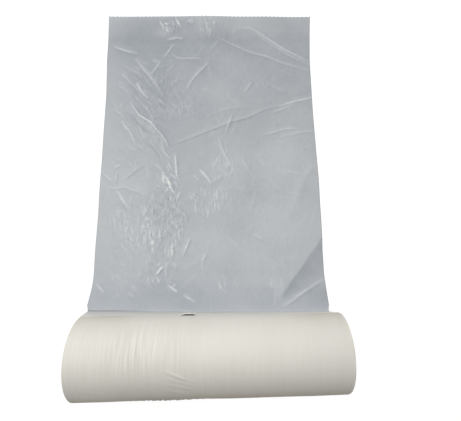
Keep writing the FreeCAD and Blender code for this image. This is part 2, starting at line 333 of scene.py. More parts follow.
def woundFilm():
    look = woundLook
    material, tree = newMaterial("woundFilm")
    along = place(tree, "UVMap", {"uv_map": "wound"}).outputs[0]

    def drawnOut(stretch, *rest):
        return noise(tree, stretched(tree, along, (1.0, stretch, 1.0)), *rest)

    streak, band = drawnOut(*look["streaks"]), drawnOut(*look["bands"])
    busy = attribute(tree, "busy")
    share = streak.between(0.38, 0.66) * (0.2 + 0.8 * busy) + band.between(0.4, 0.7) * 0.22
    # painted highlight where the streaks gather
    tint = blend(tree, 0.6 * busy, look["body"], look["gleam"])
    tint = blend(tree, share, tint, look["streak"])
    spot = place(tree, "TexCoord").outputs["Object"]
    parts = place(tree, "SeparateXYZ", {"Vector": spot}).outputs
    across, depth, rise = (Flow(tree, parts[k]) for k in range(3))
    # painted shade, darker towards the floor
    tint = blend(tree, 0.85 * (1 - rise.between(*look["lowRise"])) ** 2, tint, look["low"])
    # painted shade towards the end away from the window
    tint = blend(tree, 0.2 * across.between(*look["farPlace"]), tint, look["farSide"])
    # painted shade along the low front, and low on the back near both ends
    front = (1 - rise.between(*look["frontRise"])) * (1 - depth.between(*look["frontPlace"]))
    ends = across.math("ABSOLUTE").between(*look["endPlace"])
    back = (1 - rise.between(*look["backRise"])) * depth.between(*look["backPlace"]) * ends
    tint = blend(tree, front + 0.34 * back, tint, look["low"])
    # painted shade, darkest along the foot
    tint = blend(tree, front * (1 - rise.between(*look["footRise"])), tint, look["foot"])
    # painted shadow inside the slot
    tint = blend(tree, attribute(tree, "slot"), tint, look["slotShadow"])
    grain = drawnOut(*look["grains"])
    bump = place(tree, "Bump", {
        "Strength": 0.6, "Distance": look["grain"],
        "Height": grain * 0.5 + streak * (0.4 + 2.2 * busy)})
    surface(tree, {
        "Base Color": tint, "Roughness": look["roughness"] + 0.1 * band, "IOR": 1.5,
        "Normal": bump.outputs[0]})
    return material


def endFilm():
    # the cut edges of the turns, on the roll's two ends
    material, tree = newMaterial("filmEdges")
    spot = place(tree, "TexCoord").outputs["Object"]
    mottle = noise(tree, spot, 60.0, 3.0, 0.6).between(0.35, 0.7)
    tint = blend(tree, mottle, linear(214, 209, 197), linear(228, 224, 214))
    surface(tree, {"Base Color": tint, "Roughness": 0.5 + 0.1 * mottle, "IOR": 1.5})
    return material


# The drawn bag.
film = {
    "skirt": 29.5 * mm,  # from the tear line to the seal
    "bendRadius": 3 * mm,
    "slope": math.radians(30),
    "sweepRadius": 60 * mm,
    "length": 460 * mm,
    "columns": 252,
    "rows": 327,
    "fineRows": 51,
    "fineLength": 51 * mm,
    "backing": 3,  # cells of the upper face to one of the lower face, both ways
    "clearance": 0.03 * mm,
    # how far the skirt hangs inside its plain path at the seal, by place along the roll
    "tuck": ((-150, 0.6), (-80, 2.0), (0, 4.4), (150, 7.4)),
    "untuck": 34 * mm,  # below the seal
    "follow": (10 * mm, 70 * mm),  # up to here behind the roll, it shares the roll's taper
    "relief": 1.7,  # the creases' heights below are times this
    "slotMiddle": -26.8 * mm,
    "slotWidth": 17.4 * mm,
    # at the slot the film stands off the roll by this much, by distance from the tear line
    "slotLip": ((0, 1.45), (3, 2.25), (6, 0.8), (9, -0.5), (12, -0.6), (18, 0)),
    "slotRamp": 3.47 * mm,
    "cutGap": 0.05 * mm,  # the near edge lies this far below the tear line
    "tieSpan": (-147, 139),
    "tieSpots": 60,
    "tieTone": 0.6,
    # waves: length across and along, height and seed
    "slack": ((90, 90, 0.35, 3),),
    "clouds": ((70, 70, 0.05, 5),),
    "wanderX": ((30, 30, 0.35, 31), (7, 7, 0.15, 32)),
    "wanderY": ((30, 30, 0.35, 33), (7, 7, 0.15, 34)),
    # broad waves across the film: middle, reach, height, share of it that comes and goes, and
    # how that share runs across
    "swells": ((212, 34, 2.6, 0.25, 60, 1.0), (340, 52, 1.5, 0.3, 75, math.pi / 2)),
    # the far end rises off the floor: from, to, height, share that comes and goes, its length
    "farRise": (425, 474, 4.6, 0.15, 40),
    # the height comes in by these shares, between these distances from the tear line
    "rising": ((0, 14, 0.1), (26, 54, 0.9)),
    "shineFrom": (20, 40),
    # along the film, then its two sides, in millimetres
    "edges": ((0, -150, 141.5), (29, -153, 145.5), (38, -156, 148), (60, -155.5, 147),
              (110, -155.5, 145.5), (160, -154.2, 147), (230, -153.5, 146.5),
              (282, -153.4, 145.2), (335, -152.2, 144.3), (390, -154.5, 144.6),
              (430, -154.2, 146.5), (460, -154, 148)),
    # painted light and shade by distance from the roll in millimetres, where light falls off over
    # the film and at its bend: 0 dark, 1 light
    "tone": ((0, 0.55), (10, 0.42), (24, 0.44), (55, 0.8), (95, 0.95), (150, 0.95), (240, 0.9),
             (290, 0.7), (320, 0.56), (345, 0.44), (372, 0.34), (392, 0.36), (405, 0.6),
             (430, 0.75)),
    # places painted lighter or darker than that as light and shade, and how much
    "patches": (((-148, 200, 22, 300), 0.12), ((-20, 220, 34, 70), -0.14),
                ((-86, 340, 46, 90), -0.3), ((0, 300, 170, 44), -0.16),
                ((-60, 462, 46, 12), -0.3), ((96, 110, 36, 46), 0.12),
                ((-62, 205, 26, 90), -0.22), ((-40, 70, 60, 30), -0.24),
                ((-100, 445, 50, 26), -0.25), ((-72, 448, 12, 9), 0.5),
                ((-128, 58, 34, 16), -0.12), ((-60, 425, 60, 36), -0.09),
                ((92, 430, 60, 40), 0.07), ((5, 84, 52, 28), 0.1)),
}
# The fold at one side, its tilted facet painted darker as shade: a corner of film that rises from
# its apex, in millimetres and degrees.
flap = {
    "apex": (82.5, 54),
    "lower": 26.6,
    "upper": 51.0,
    "back": 118.0,
    "flatFrom": (80, 150),
    "rise": 0.042,
    "shade": 0.5,
    "shadeFrom": (4, 16),
}
# The seal across the bag, its groove and a dark line of painted shadow in that groove, which both
# lie a little above it.
seal = {
    "height": 0.25 * mm,
    "half": 0.9 * mm,
    "groove": 1.0 * mm,
    "grooveHalf": 0.8 * mm,
    "grooveAbove": 1.4 * mm,
    "lineHalf": 0.75 * mm,
    "lineAbove": 1.2 * mm,
    "dark": 0.72,
    "pinched": (-116 * mm, -64 * mm),  # drawn tight up to here
}


def fallLengths():
    steep = math.pi / 2 - liftAngle
    top = woundRadius - settled + woundRadius * math.sin(liftAngle)
    out = woundRadius * math.cos(liftAngle)
    bend, sweep, slope = film["bendRadius"], film["sweepRadius"], film["slope"]
    drop = (film["skirt"] * math.sin(steep) + bend * (math.cos(slope) - math.cos(steep))
            + sweep * (1 - math.cos(slope)))
    straight = (top - drop) / math.sin(slope)
    return steep, top, out, straight


def fallPath(along):
    # the side of the film that faces the roll and the floor, and its slope there
    steep, top, out, straight = fallLengths()
    slope, bend, sweep = film["slope"], film["bendRadius"], film["sweepRadius"]
    lengths = (film["skirt"], bend * (steep - slope), straight, sweep * slope)
    y, z = np.full_like(along, out), np.full_like(along, top)
    lean = np.full_like(along, steep)
    startLean, done = steep, 0.0
    for length, radius in zip(lengths, (0.0, bend, 0.0, sweep)):
        part = np.clip(along - done, 0.0, length)
        if radius:
            angle = startLean - part / radius
            y += radius * (math.sin(startLean) - np.sin(angle))
            z -= radius * (np.cos(angle) - math.cos(startLean))
            lean = np.where(along > done, angle, lean)
            startLean -= length / radius
        else:
            y += part * math.cos(startLean)
            z -= part * math.sin(startLean)
        done += length
    return y + np.maximum(along - done, 0.0), np.maximum(z, 0.0), lean, done


# Creases that can be told apart: places, x and y in turn, in millimetres from the roll's middle,
# then height, width of the sharp ridge, width of the fold it stands on, its shine, partly
# whitening and partly painted highlight, how dark the painted shade on its other side is, above 0
# on the left of the way the places run, and how the fold leans to one side.
# What a row leaves out is 0.
creases = (
    # the far end
    ((40, 453, 58, 454, 83, 437, 106, 421, 127, 409, 147, 397), 0.8, 1.6, 15, 0.45, 0.3, 0.5),
    ((66, 444, 88, 428, 112, 412, 147, 392), 0.3, 1.2, 0, 0.3, -0.2),
    ((7, 440, 24, 431, 52, 417, 82, 407, 111, 395, 144, 385), 0.4, 1.6, 12, 0.3, -0.25, -0.3),
    ((-67, 435, -53, 439, -42, 438), 0.45, 1.2, 7, 0.5, -0.2),
    ((-57, 430, -71, 406), 0.25, 0.9, 4, 0.4),
    ((-76, 399, -90, 378), 0.25, 0.9, 4, 0.4),
    ((-88, 403, -74, 398), 0.25, 1.1, 6, 0.3),
    ((-60, 412, -49, 405, -27, 405, -12, 404), 0.35, 1.2, 8, 0.35, 0.2, 0.3),
    ((-4, 400, -19, 384, -29, 370, -38, 353), 0.4, 1.2, 10, 0.4, 0.25, 0.4),
    ((-147, 425, -128, 417, -108, 412), 0.35, 1.6, 8, 0.35, -0.2),
    ((58, 367, 46, 349), 0.25, 1.1, 5, 0.25),
    # the band of folds that runs down to the left of the middle
    ((-113, 405, -105, 393, -91, 376, -81, 361, -70, 343), 0.6, 3.6, 12, 0.3, -0.3, 0.4),
    ((-124, 330, -110, 313, -92, 300, -84, 288, -74, 276), 0.3, 4.5, 0, 0.2),
    ((-132, 380, -115, 360), 0.4, 1.6, 8, 0.3, 0.2),
    ((-110, 366, -102, 352, -91, 340), 0.5, 2, 8, 0.5, 0.2),
    ((-139, 324, -125, 312), 0.3, 1.4, 6, 0.3, 0.2),
    ((-127, 335, -132, 325), 0.3, 1.1, 0, 0.25),
    ((-80, 340, -67, 330), 0.3, 1.2, 5, 0.35, -0.3),
    ((-57, 352, -45, 339, -42, 326, -47, 307), 0.25, 1.1, 0, 0.2, -0.2),
    ((-66, 330, -62, 318, -60, 304), 0.25, 1.1, 0, 0.15, -0.25),
    ((-117, 335, -105, 315, -87, 304, -80, 294, -70, 282, -59, 266),
     1.1, 1.3, 16, 0.7, 0.75, 0.55),
    ((-97, 311, -88, 298, -79, 286), 0.4, 1, 0, 0.35, -0.3),
    ((-112, 312, -97, 299), 0.35, 1, 0, 0.35, 0.25),
    ((-105, 299, -95, 281), 0.35, 1.2, 5, 0.3, 0.2),
    ((-73, 281, -71, 269, -67, 259, -58, 248), 0.4, 1.4, 6, 0.4, 0.3),
    ((-129, 307, -123, 298, -117, 291, -112, 281, -107, 270), 0.7, 1.5, 9, 0.5, 0.3, 0.2),
    ((-66, 225, -61, 218, -58, 210, -56, 204, -51, 198), 0.8, 1.6, 10, 1, 0.3, 0.2),
    ((-53, 257, -50, 238, -50, 228, -46, 219), 0.5, 1.2, 7, 0.75, 0.35),
    ((-80, 243, -66, 229), 0.35, 1.3, 5, 0.3),
    ((-44, 202, -49, 189), 0.5, 1.2, 5, 0.7, -0.3),
    # the long crease to the right edge
    ((-57, 269, -33, 281, -10, 290, 11, 298, 32, 306, 54, 313, 78, 324, 100, 330),
     0.45, 0.9, 15, 0.16, -0.55, -0.6),
    ((95, 328, 121, 336, 150, 343), 0.35, 1.1, 10, 0.55, -0.25, -0.4),
    ((84, 317, 118, 331), 0.25, 0.9, 0, 0.3, -0.2),
    ((-8, 312, 15, 322, 29, 326, 50, 326), 0.2, 1.2, 6, 0.15),
    ((28, 315, 19, 288), 0.4, 1.1, 6, 0.35, 0.3, -0.3),
    ((8, 281, 18, 253, 28, 234), 0.45, 1.3, 10, 0.35, 0.3, 0.3),
    ((40, 250, 51, 232), 0.35, 1.2, 8, 0.25, 0.15),
    ((69, 284, 102, 293, 124, 294), 0.25, 1.1, 6, 0.35, -0.25),
    ((95, 281, 125, 288, 150, 291), 0.25, 1.1, 6, 0.3, -0.2),
    ((12, 205, 65, 198), 0.2, 1.3, 6, 0, 0.2),
    # below it
    ((-18, 234, -10, 225, -3, 214), 0.55, 1.2, 6, 0.8, 0.3),
    ((-26, 226, -18, 218), 0.3, 1.3, 4, 0.25),
    ((-4, 212, 13, 225), 0.4, 1.2, 6, 0.3, 0.2),
    ((-34, 197, -18, 187), 0.35, 1, 4, 0.4, 0.2),
    ((-31, 201, -18, 192), 0.3, 1, 0, 0.3, 0.2),
    ((-57, 184, -37, 170, -34, 158), 0.5, 1.6, 7, 0.3, 0.25),
    ((-152, 233, -135, 215), 0.5, 1, 6, 0.4, 0.3),
    ((-132, 231, -133, 214), 0.5, 1, 6, 0.35, 0.35),
    ((-146, 210, -134, 207, -120, 208, -102, 202, -86, 196), 0.6, 1.2, 8, 0.25, -0.3),
    ((-131, 204, -126, 198, -122, 191, -114, 180), 0.45, 1.1, 8, 0.75, 0, 0.3),
    ((-94, 241, -109, 231, -118, 224, -123, 216), 0.35, 1.2, 6, 0.1, 0.35),
    ((-135, 237, -127, 242), 0.3, 1, 0, 0.6, -0.3),
    ((-84, 150, -84, 138), 0.3, 0.9, 0, 0.9, 0.3),
    ((-71, 151, -71, 138), 0.3, 0.9, 0, 0.8, 0.3),
    ((-80, 138, -81, 128), 0.3, 0.9, 0, 0.8, 0.3),
    ((-55, 130, -54, 115), 0.5, 1.2, 5, 0.9, 0.3),
    ((-30, 140, -40, 115), 0.45, 0.9, 5, 0.6, 0.3),
    ((-9, 118, -14, 108), 0.3, 1, 4, 0.5, 0.2),
    ((-66, 101, -74, 91), 0.5, 1, 5, 0.9, 0.2),
    ((-58, 77, -45, 68), 0.45, 1, 5, 0.7, 0.2),
    ((-46, 79, -54, 73), 0.3, 0.9, 0, 0.3, 0.2),
    ((-38, 65, -22, 57), 0.3, 1, 5, 0.35),
    ((7, 80, 12, 70), 0.3, 1, 4, 0.35),
    ((55, 143, 68, 134), 0.3, 1.1, 5, 0.25, -0.2),
    ((140, 240, 121, 206, 109, 177, 97, 158), 0.6, 9, 26, 0, 0, 0.7),
    ((147, 83, 122, 70, 103, 59, 87, 52), 0.5, 1.8, 8, 0.3, 0.2, -0.3),
    ((-151, 80, -138, 68), 0.35, 1.2, 6, 0.35, 0.2),
    ((-140, 55, -100, 62, -60, 60), 0.35, 3, 14),
)
# Fine crinkles by place and its reach: direction and its spread in degrees, how many, lengths,
# heights and widths in millimetres, and their shine, partly painted highlight; each also gets a
# painted dark side.
crinkles = (
    ((-68, 158, 30, 42), 94, 9, 170, (5, 14), (0.14, 0.4), (0.7, 1.1), 0.6),
    ((-112, 150, 26, 44), 94, 24, 30, (3, 9), (0.06, 0.16), (0.8, 1.2), 0.55),
    ((-88, 300, 24, 52), 125, 8, 26, (16, 40), (0.14, 0.4), (1.2, 2.4), 0.25),
    ((-92, 366, 34, 40), 128, 14, 22, (16, 40), (0.12, 0.36), (1.4, 3), 0.2),
    ((-104, 165, 36, 30), 92, 14, 44, (8, 20), (0.1, 0.26), (1, 1.8), 0.35),
    ((-115, 143, 9, 14), 100, 50, 18, (1.2, 2.4), (0.08, 0.16), (0.8, 1), 1),
    ((-103, 133, 12, 4), 10, 50, 12, (1.2, 2.4), (0.08, 0.16), (0.8, 1), 1),
    ((-122, 186, 8, 18), 110, 50, 16, (1.2, 2.4), (0.08, 0.16), (0.8, 1), 0.9),
    ((-62, 106, 10, 9), 62, 30, 12, (4, 10), (0.08, 0.2), (0.8, 1.3), 0.5),
    ((-80, 82, 12, 8), 120, 60, 14, (3, 9), (0.08, 0.2), (0.8, 1.3), 0.5),
    ((-108, 112, 34, 50), 104, 36, 46, (6, 20), (0.04, 0.12), (1.2, 2.6), 0.2),
    ((-110, 226, 44, 44), 118, 40, 26, (10, 26), (0.08, 0.24), (1.2, 2.4), 0.2),
    ((-84, 340, 58, 62), 128, 24, 60, (8, 26), (0.05, 0.18), (1, 2), 0.2),
    ((-58, 216, 12, 30), 118, 12, 34, (5, 14), (0.14, 0.4), (0.8, 1.3), 0.9),
    ((-61, 461, 15, 12), 114, 10, 24, (8, 20), (0.16, 0.42), (0.8, 1.3), 0.95),
    ((-32, 463, 5, 4), 90, 60, 12, (3, 6), (0.12, 0.32), (0.9, 1.4), 0.9),
    ((-6, 456, 14, 15), 95, 14, 26, (6, 20), (0.1, 0.3), (0.8, 1.3), 0.5),
    ((-4, 192, 24, 24), 94, 12, 46, (6, 18), (0.08, 0.24), (0.9, 1.4), 0.5),
    ((14, 240, 16, 24), 78, 22, 22, (6, 18), (0.08, 0.22), (0.9, 1.6), 0.4),
    ((-64, 378, 18, 20), 75, 50, 24, (6, 18), (0.05, 0.18), (1, 1.8), 0.2),
    ((22, 303, 14, 14), 80, 40, 14, (6, 16), (0.06, 0.18), (1, 1.6), 0.3),
    ((-50, 82, 80, 24), 125, 40, 50, (5, 16), (0.05, 0.16), (1, 1.8), 0.2),
    ((-70, 104, 26, 16), 98, 14, 24, (6, 16), (0.08, 0.2), (0.9, 1.4), 0.3),
    ((80, 76, 10, 22), 92, 8, 14, (8, 22), (0.05, 0.12), (0.9, 1.4), 0.25),
    ((82, 150, 58, 62), 70, 50, 40, (6, 20), (0.03, 0.1), (1, 2), 0.1),
    ((80, 270, 66, 90), 20, 60, 50, (6, 24), (0.03, 0.11), (1, 2.2), 0.12),
    ((-2, 262, 150, 208), 90, 90, 260, (8, 34), (0.03, 0.12), (1, 2.6), 0.14),
)
# How a crease is drawn: width of its shine, partly painted highlight, and of its painted dark
# side, and how far off that side lies, in millimetres and then times the ridge's width; the
# ridge's share of a fold, and how hollow the fold's sides are.
creaseForm = {
    "shine": (0.5, 0.6),
    "dark": (0.6, 0.4),
    "darkOff": (1.2, 0.5),
    "ridge": 0.4,
    "hollow": 1.3,
}


def stampCrease(sheet, spots, tall, sharp, fold, shine=0, dark=0, lean=0):
    # adds one crease to the sheet's height, its shine, partly painted highlight, and the painted
    # shade of its dark side, over the part that it reaches
    x, y = sheet["x"], sheet["y"]
    reach = fold * (1 + abs(lean)) + 3 * sharp
    xs, ys = [p[0] for p in spots], [p[1] for p in spots]
    near = np.nonzero((x > min(xs) - reach) & (x < max(xs) + reach)
                      & (y > min(ys) - reach) & (y < max(ys) + reach))
    px, py = x[near], y[near]
    total = sum(math.dist(a, b) for a, b in zip(spots, spots[1:]))
    best, side, share, done = np.full(px.shape, 1e9), np.zeros(px.shape), np.zeros(px.shape), 0.0
    for a, b in zip(spots, spots[1:]):
        run = math.dist(a, b)
        dx, dy = (b[0] - a[0]) / run, (b[1] - a[1]) / run
        step = np.clip((px - a[0]) * dx + (py - a[1]) * dy, 0, run)
        offX, offY = px - a[0] - step * dx, py - a[1] - step * dy
        away = np.hypot(offX, offY)
        nearer = away < best
        best = np.where(nearer, away, best)
        side = np.where(nearer, np.sign(dx * offY - dy * offX), side)
        share = np.where(nearer, (done + step) / total, share)
        done += run
    fade = np.sqrt(np.sin(math.pi * share))

    def wide(name):
        plain, own = creaseForm[name]
        return plain + own * sharp

    beside = best * side * math.copysign(1, dark) - wide("darkOff")
    for name, value in (("crease", shine * bell(best, wide("shine"))),
                        ("dark", abs(dark) * bell(beside, wide("dark")))):
        sheet[name][near] = np.maximum(sheet[name][near], fade * value)
    ridge = bell(best, sharp)
    if fold:
        tent = np.clip(1 - best / (fold * (1 + lean * side)), 0, 1)
        share = creaseForm["ridge"]
        ridge = share * ridge + (1 - share) * tent ** creaseForm["hollow"]
    sheet["height"][near] += film["relief"] * tall * fade * ridge


def crinkleSpots(draw, zone, heading, spread, lengths):
    # the two ends of one crinkle in a zone, and the slight bow between them
    midX, midY, reachX, reachY = zone
    turn, far = draw.uniform(0, 2 * math.pi), math.sqrt(draw.random())
    x, y = midX + reachX * far * math.cos(turn), midY + reachY * far * math.sin(turn)
    angle = math.radians(heading + draw.uniform(-spread, spread))
    half = draw.uniform(*lengths) / 2
    bow = draw.uniform(-0.12, 0.12) * half
    dx, dy = math.cos(angle), math.sin(angle)
    return [(x - half * dx, y - half * dy), (x - bow * dy, y + bow * dx),
            (x + half * dx, y + half * dy)]


def filmSheet(x, along, landed, pathY):
    # how far the film stands off its plain path, in millimetres, and how it shines and is shaded,
    # as painted highlight and painted shade in its colour
    y = np.where(along < landed, pathY, pathY[along >= landed].min() + along - landed)
    height = waves(film["slack"], x, y)
    for middle, reach, tall, vary, wide, shift in film["swells"]:
        height += tall * bell(y - middle, reach) * (1 - vary + vary * np.sin(x / wide + shift))
    low, high, tall, vary, wide = film["farRise"]
    height += tall * smoothStep(low, high, y) * (1 - vary + vary * np.cos(x / wide))
    apexX, apexY = flap["apex"]
    out = np.hypot(x - apexX, y - apexY)
    turn = np.degrees(np.arctan2(y - apexY, x - apexX))
    inside = np.clip((turn - flap["lower"]) / (flap["upper"] - flap["lower"]), 0, 1)
    behind = 1 - smoothStep(flap["upper"], flap["back"], turn)
    behind *= 1 - smoothStep(*flap["flatFrom"], out)
    height += flap["rise"] * out * inside * behind * (turn > flap["lower"])
    # where the fold's facet gets its painted shade
    folded = inside * (turn < flap["upper"] + 2) * smoothStep(*flap["shadeFrom"], out)
    sheet = {"height": height, "crease": np.zeros_like(x), "dark": np.zeros_like(x),
             "x": x + waves(film["wanderX"], x, y), "y": y + waves(film["wanderY"], x, y)}
    for places, *form in creases:
        stampCrease(sheet, list(zip(places[::2], places[1::2])), *form)
    draw = random.Random(11)
    busy = np.zeros_like(x)
    for zone, heading, spread, count, lengths, heights, widths, brightest in crinkles:
        for _ in range(count):
            tall, sharp = draw.uniform(*heights), draw.uniform(*widths)
            shine = brightest * draw.random() ** 2
            spots = crinkleSpots(draw, zone, heading, spread, lengths)
            stampCrease(sheet, spots, tall, sharp, 0, shine, 0.5 * tall + 0.3 * shine)
        busy = np.maximum(busy, 4.5 * heights[1] * brightest * patch(zone, x, y))
    height -= height.min()
    height *= sum(share * smoothStep(low, high, along) for low, high, share in film["rising"])
    sheet["crease"] *= smoothStep(*film["shineFrom"], along)
    # the tone is mostly painted light and shade over the sheet, with some random clouding
    tone = lookUp(film["tone"], y - woundRadius / mm) + waves(film["clouds"], x, y)
    for zone, more in film["patches"]:
        tone += more * patch(zone, x, y)
    # painted shade: the fold's facet and the creases' dark sides are taken off the tone
    sheet["tone"] = np.minimum(tone, 1) - flap["shade"] * folded - sheet["dark"]
    sheet["busy"] = np.clip(busy, 0, 1)
    return sheet


# The roll is thicker at its left end, and its right end lies a little further back.
lie = {"leftTaper": 0.0215, "rightTaper": 0.0129, "skew": 1.1 * mm}


def askew(x):
    # how much larger the roll is there, and how far back it lies
    share = x / halfWidth
    size = 1 - np.where(share > 0, lie["rightTaper"], lie["leftTaper"]) * share
    return size, lie["skew"] * (share + 1) / 2


def rowPlaces():
    # distances from the tear line, with finer rows near it
    change, fine = film["fineLength"], film["fineRows"]
    first = np.linspace(film["cutGap"], change, fine, endpoint=False)
    return np.concatenate([first, np.linspace(change, film["length"], film["rows"] + 1 - fine)])


def drawnBag(material):
    columns, step = film["columns"], film["backing"]
    across = np.linspace(-halfWidth, halfWidth, columns + 1)
    along = rowPlaces()
    pathY, pathZ, lean, landed = fallPath(along)
    u, s = np.meshgrid(across, along)

    def fit(row):
        return np.repeat(row[:, None], columns + 1, axis=1)

    sides = np.array(film["edges"]).T
    left, right = (fit(np.interp(along / mm, *sides[[0, k]])) for k in (1, 2))
    x = (left + (right - left) * (u / bagWidth + 0.5)) * mm
    sheet = filmSheet(x / mm, s / mm, landed / mm, fit(pathY) / mm)
    height = sheet["height"] * mm
    sealAt = film["skirt"] + 0.9 * film["bendRadius"]
    past = s - sealAt
    pinched = 1 - smoothStep(*seal["pinched"], u)
    height += seal["height"] * np.exp(-(past / seal["half"]) ** 4)
    height -= seal["groove"] * pinched * bell(past + seal["grooveAbove"], seal["grooveHalf"])
    tucked = np.minimum(s / sealAt, 1) ** 2 * (1 - smoothStep(0, film["untuck"], past))
    height -= lookUp(film["tuck"], u / mm) * mm * tucked
    inward = film["slotWidth"] / 2 - np.abs(x - film["slotMiddle"])
    bulge = lookUp(film["slotLip"], s / mm) * mm * np.clip(inward / film["slotRamp"], 0, 1)

    def lowest(grid):
        # the least height around each corner of the coarser lower face
        padded = np.pad(grid, step, mode="edge")
        best = padded[step:-step, step:-step]
        for i in range(-step, step + 1):
            for j in range(-step, step + 1):
                best = np.minimum(best, padded[step + i:step + i + grid.shape[0],
                                               step + j:step + j + grid.shape[1]])
        return best[::step, ::step]

    def solidPoints(part, height):
        px, py, pz, tilt = (grid[part] for grid in (x, fit(pathY), fit(pathZ), fit(lean)))
        py, pz = py + height * np.sin(tilt), pz + height * np.cos(tilt)
        hold = 1 - smoothStep(*film["follow"], py - woundRadius)
        size, shift = askew(px)
        size = 1 + (size - 1) * hold
        return np.stack([px, py * size + shift * hold, pz * size], axis=-1)

    every, thin = slice(None), slice(None, None, step)
    upper = solidPoints((every, every), height + bulge + gauge + film["clearance"])
    lower = solidPoints((thin, thin), lowest(height) + bulge[thin, thin] + film["clearance"])
    upperIds = np.arange(upper.shape[0] * upper.shape[1]).reshape(upper.shape[:2])
    lowerIds = upperIds.size + np.arange(lower.shape[0] * lower.shape[1]).reshape(lower.shape[:2])
    faces = gridFaces(upperIds).tolist() + gridFaces(lowerIds)[:, ::-1].tolist()
    for fineEdge, coarseEdge, flip in (
            (upperIds[0], lowerIds[0], False), (upperIds[-1], lowerIds[-1], True),
            (upperIds[:, 0], lowerIds[:, 0], True), (upperIds[:, -1], lowerIds[:, -1], False)):
        for k in range(len(coarseEdge) - 1):
            rim = [int(v) for v in fineEdge[k * step:(k + 1) * step + 1]]
            rim = [int(coarseEdge[k]), int(coarseEdge[k + 1]), *rim[::-1]]
            faces.append(rim[::-1] if flip else rim)
    piece = meshPiece("drawnBag", np.concatenate([upper.reshape(-1, 3), lower.reshape(-1, 3)]),
                      faces, material)

    blank = np.zeros(lower.shape[:2])
    lining = {"tone": blank + 1, "near": (inward > -mm)[thin, thin]}  # what shows in the slot
    hanging = 1 - smoothStep(2 * mm, 60 * mm, s)
    # where the roll's cream shows through and where the skirt and its bend get painted light
    sheet["near"] = hanging * (1 - smoothStep(-3 * mm, 1.5 * mm, past))
    # the painted shadow line in the groove, only where the film is drawn tight
    sheet["weld"] = seal["dark"] * pinched * bell(past + seal["lineAbove"], seal["lineHalf"])
    for name in ("crease", "weld", "tone", "busy", "near"):
        pointValues(piece.data, name, np.concatenate(
            [sheet[name].ravel(), lining.get(name, blank).ravel()]))
    farEdge = [tuple(p) for p in upper[-1].tolist()]
    return piece, farEdge


# The wound roll. Lengths of waves are along and round it in millimetres, then height and seed.
roll = {
    "bore": 12.5 * mm,
    "around": 240,
    "length": 280,
    "rimRadius": 0.8 * mm,
    "rimRings": 4,
    "endDepth": 0.7 * mm,  # the turns' edges stand out of the plain end by this much
    "endMargin": 1.0 * mm,
    "endRings": 12,
    "boreRings": 12,
    # the gathered streaks: their place along the roll in millimetres and round it in degrees,
    # and its reach both ways
    "streakPlace": (-76, 74, 36, 24),
    "streakWaves": ((2.6, 60, 0.035, 21), (5.5, 90, 0.03, 22)),
    "streakRelief": (0.4, 4.5),  # everywhere, and more of it where they are gathered
    "slack": ((70, 55, 0.10, 23),),
    # where the outer turn hangs down in front: degrees and reach, by how much, and where it's more
    "sagPlace": (168, 24),
    "sag": (0.3, 0.5),
    "sagFrom": (-20, 20),
    "sagTo": (105, 145),
    # and where it is crumpled there
    "loosePlace": (-46, 168, 30, 15),
    "looseWaves": ((4, 11, 1.0, 24), (2.4, 7, 0.8, 25)),
    "loose": 0.85,
}
# Wrinkles in the outer turn: their two ends along and around the roll, height and width, all in
# millimetres.
wrinkles = (
    ((-50, 69, -34, 75), 0.35, 1), ((-45, 71, -25, 80), 0.45, 1),
    ((-40, 73, -16, 83), 0.45, 1), ((-47, 76, -30, 83), 0.3, 0.9),
    ((-34, 80, -18, 87), 0.35, 0.9), ((-44, 84, -24, 91), 0.3, 0.9),
    ((-46, 92, -20, 99), 0.55, 1.1), ((-34, 97, -18, 103), 0.35, 1.1),
    ((-60, 80, -50, 84), 0.25, 1), ((-84, 96, -66, 103), 0.35, 1.1),
    ((-118, 92, -106, 97), 0.3, 1), ((-136, 98, -122, 104), 0.4, 1.1),
    ((-140, 104, -124, 109), 0.4, 1.1), ((-128, 90, -118, 95), 0.25, 1),
    ((-80, 103, -64, 110), 0.4, 1), ((-70, 88, -58, 94), 0.3, 0.9),
    ((-58, 100, -42, 108), 0.45, 1), ((-32, 88, -14, 93), 0.35, 0.9),
)


def around(spot, x, angle):
    return patch(spot, x / mm, np.degrees(angle + liftAngle))


def rollRadius(x, angle):
    # wound radius at x and at an angle round the roll, counted from the tear line
    along, turned = x / mm, angle * woundRadius / mm
    plain, gathered = roll["streakRelief"]
    relief = waves(roll["streakWaves"], along, turned)
    relief = relief * (plain + gathered * around(roll["streakPlace"], x, angle))
    relief = relief + waves(roll["slack"], along, turned)
    for (ax, ay, bx, by), tall, width in wrinkles:
        run = math.hypot(bx - ax, by - ay)
        step = np.clip(((along - ax) * (bx - ax) + (turned - ay) * (by - ay)) / run ** 2, 0, 1)
        away = np.hypot(along - ax - step * (bx - ax), turned - ay - step * (by - ay))
        fade = np.sin(math.pi * np.clip(step, 0.04, 0.96))
        relief = relief + tall * bell(away, width) * fade
    least, more = roll["sag"]
    more *= smoothStep(*roll["sagFrom"], along) * (1 - smoothStep(*roll["sagTo"], along))
    turn, reach = roll["sagPlace"]
    sag = (least + more) * bell(np.degrees(angle + liftAngle) - turn, reach)
    loose = roll["loose"] * around(roll["loosePlace"], x, angle)
    crumple = np.clip(waves(roll["looseWaves"], along, turned), -0.5, 1.0)
    radius = woundRadius + gauge * (1 - angle / (2 * math.pi))
    return radius + (relief + sag + loose * crumple) * mm


